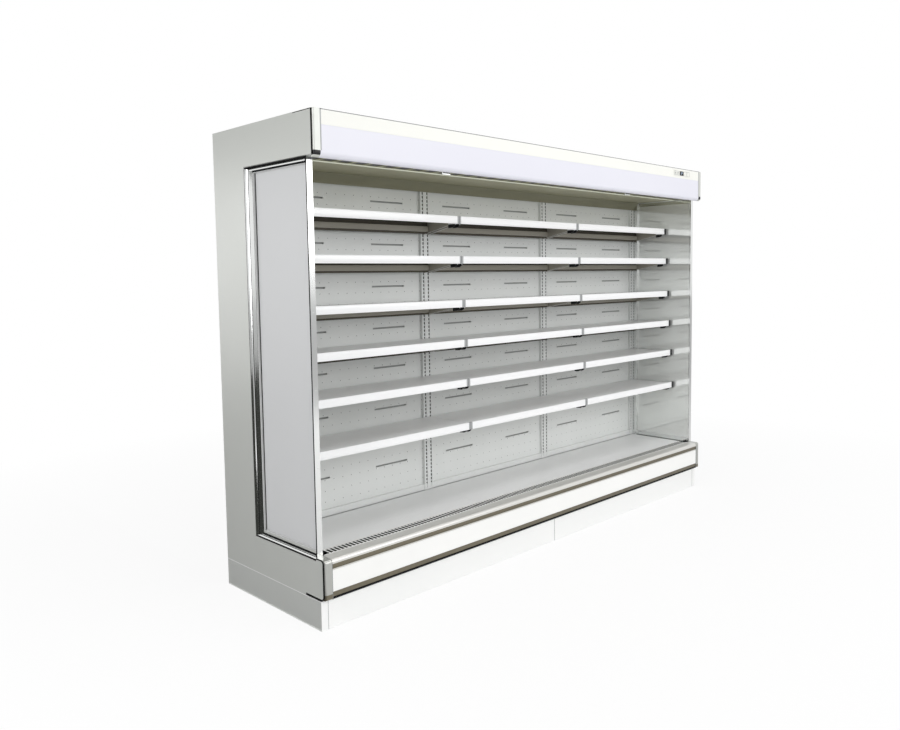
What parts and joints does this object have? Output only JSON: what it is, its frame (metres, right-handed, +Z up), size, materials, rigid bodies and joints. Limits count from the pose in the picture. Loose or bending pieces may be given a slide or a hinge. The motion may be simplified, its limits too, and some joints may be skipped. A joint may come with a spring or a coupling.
{
  "type": "open multideck display fridge",
  "caption": "Tall open-fronted refrigerated display cabinet with stepped hung shelves in joined bays, glazed end walls, a canopy with night blinds, a bumper and a plinth.",
  "frame": {"origin": "on the floor, under the middle of the whole cabinet", "axes": "+Z up, +X to the shopper's right along the cabinet, and the open front faces -Y"},
  "size_m": [2.9024, 0.75, 2],
  "materials": {
    "frame_steel": "satin",
    "plinth_paint": "satin",
    "shell_paint": "satin",
    "side_panel": "satin",
    "glazing_frame": "polished",
    "end_glass": "polished",
    "fascia_paint": "satin",
    "light_panel": "gloss",
    "canopy_cap": "satin",
    "lamp_lens": "gloss",
    "ceiling_paint": "matte",
    "blind_roll": "matte",
    "blind_fabric": "matte",
    "blind_bar": "satin",
    "controller_face": "satin",
    "controller_key": "satin",
    "bumper_metal": "satin",
    "bumper_insert": "satin",
    "bumper_cap": "satin",
    "upright_paint": "satin",
    "duct_paint": "satin",
    "shelf_paint": "satin",
    "deck_paint": "satin",
    "grille_metal": "satin",
    "fan_deck_steel": "satin",
    "fan_rotor": "satin",
    "coil_metal": "satin"
  },
  "bodies": {
    "cabinet": {"base_frame": "frame_steel", "plinth_front_left": "plinth_paint", "plinth_front_right": "plinth_paint", "plinth_end_left": "plinth_paint", "plinth_end_right": "plinth_paint", "insulated_shell": "shell_paint", "side_panel_left": "side_panel", "side_panel_right": "side_panel", "glass_frame_left": "glazing_frame", "glass_frame_right": "glazing_frame", "end_glass_left": "end_glass", "end_glass_right": "end_glass", "canopy_fascia": "fascia_paint", "canopy_light_panel": "light_panel", "canopy_end_cap_left": "canopy_cap", "canopy_end_cap_right": "canopy_cap", "canopy_lamp": "lamp_lens", "canopy_ceiling": "ceiling_paint", "blind_fabric_left": "blind_fabric", "blind_fabric_right": "blind_fabric", "controller_housing": "controller_face", "bumper_profile": "bumper_metal", "bumper_insert": "bumper_insert", "bumper_end_cap_left": "bumper_cap", "bumper_end_cap_right": "bumper_cap", "upright_frame": "upright_paint", "duct_back_panel": "duct_paint", "shelf_row1_bay1": "shelf_paint", "shelf_row1_bay2": "shelf_paint", "shelf_row1_bay3": "shelf_paint", "shelf_row2_bay1": "shelf_paint", "shelf_row2_bay2": "shelf_paint", "shelf_row2_bay3": "shelf_paint", "shelf_row3_bay1": "shelf_paint", "shelf_row3_bay2": "shelf_paint", "shelf_row3_bay3": "shelf_paint", "shelf_row4_bay1": "shelf_paint", "shelf_row4_bay2": "shelf_paint", "shelf_row4_bay3": "shelf_paint", "shelf_row5_bay1": "shelf_paint", "shelf_row5_bay2": "shelf_paint", "shelf_row5_bay3": "shelf_paint", "shelf_row6_bay1": "shelf_paint", "shelf_row6_bay2": "shelf_paint", "shelf_row6_bay3": "shelf_paint", "fan_deck": "fan_deck_steel", "evaporator_coil": "coil_metal"},
    "blind_bar_left": {"blind_handle_left": "blind_bar"},
    "blind_roll_left": {"blind_roller_left": "blind_roll"},
    "blind_bar_right": {"blind_handle_right": "blind_bar"},
    "blind_roll_right": {"blind_roller_right": "blind_roll"},
    "fan_rotor_1": {"fan_rotor_bay1": "fan_rotor"},
    "fan_rotor_2": {"fan_rotor_bay2": "fan_rotor"},
    "fan_rotor_3": {"fan_rotor_bay3": "fan_rotor"},
    "key_1": {"controller_key_1": "controller_key"},
    "key_2": {"controller_key_2": "controller_key"},
    "deck_tray_1": {"deck_tray_bay1": "deck_paint"},
    "deck_tray_2": {"deck_tray_bay2": "deck_paint"},
    "deck_tray_3": {"deck_tray_bay3": "deck_paint"},
    "grille": {"return_grille": "grille_metal"}
  },
  "joints": [
    {"name": "blind_pull_left", "type": "slide", "parent": "cabinet", "child": "blind_bar_left", "axis": [0, 0, -1], "range_m": [0, 1.52], "stiffness_N_per_m": 12, "springref_m": -1, "deforming": ["blind_fabric_left"]},
    {"name": "blind_roll_turn_left", "type": "hinge", "parent": "cabinet", "child": "blind_roll_left", "pos_m": [-0.7, -0.319, 1.88], "axis": [1, 0, 0], "range_deg": [-1, 3531]},
    {"name": "blind_pull_right", "type": "slide", "parent": "cabinet", "child": "blind_bar_right", "axis": [0, 0, -1], "range_m": [0, 1.52], "stiffness_N_per_m": 12, "springref_m": -1, "deforming": ["blind_fabric_right"]},
    {"name": "blind_roll_turn_right", "type": "hinge", "parent": "cabinet", "child": "blind_roll_right", "pos_m": [0.7, -0.319, 1.88], "axis": [1, 0, 0], "range_deg": [-1, 3531]},
    {"name": "fan_spin_bay1", "type": "hinge", "parent": "cabinet", "child": "fan_rotor_1", "pos_m": [-0.9375, 0.006, 0.225], "axis": [0, -0.4856, 0.8742], "continuous": true},
    {"name": "fan_spin_bay2", "type": "hinge", "parent": "cabinet", "child": "fan_rotor_2", "pos_m": [0, 0.006, 0.225], "axis": [0, -0.4856, 0.8742], "continuous": true},
    {"name": "fan_spin_bay3", "type": "hinge", "parent": "cabinet", "child": "fan_rotor_3", "pos_m": [0.9375, 0.006, 0.225], "axis": [0, -0.4856, 0.8742], "continuous": true},
    {"name": "controller_key_1_press", "type": "slide", "parent": "cabinet", "child": "key_1", "axis": [0, 1, 0], "range_m": [0, 0.0012], "stiffness_N_per_m": 500, "springref_m": -0.0005},
    {"name": "controller_key_2_press", "type": "slide", "parent": "cabinet", "child": "key_2", "axis": [0, 1, 0], "range_m": [0, 0.0012], "stiffness_N_per_m": 500, "springref_m": -0.0005},
    {"name": "deck_tray_lift_bay1", "type": "slide", "parent": "cabinet", "child": "deck_tray_1", "axis": [0, 0, 1], "range_m": [0, 0.25]},
    {"name": "deck_tray_lift_bay2", "type": "slide", "parent": "cabinet", "child": "deck_tray_2", "axis": [0, 0, 1], "range_m": [0, 0.25]},
    {"name": "deck_tray_lift_bay3", "type": "slide", "parent": "cabinet", "child": "deck_tray_3", "axis": [0, 0, 1], "range_m": [0, 0.25]},
    {"name": "return_grille_lift", "type": "slide", "parent": "cabinet", "child": "grille", "axis": [0, 0, 1], "range_m": [0, 0.2]}
  ],
  "couplings": [
    {"joint": "blind_roll_turn_left", "follows": "blind_pull_left", "rad_per_m": 40.486},
    {"joint": "blind_roll_turn_right", "follows": "blind_pull_right", "rad_per_m": 40.486}
  ]
}
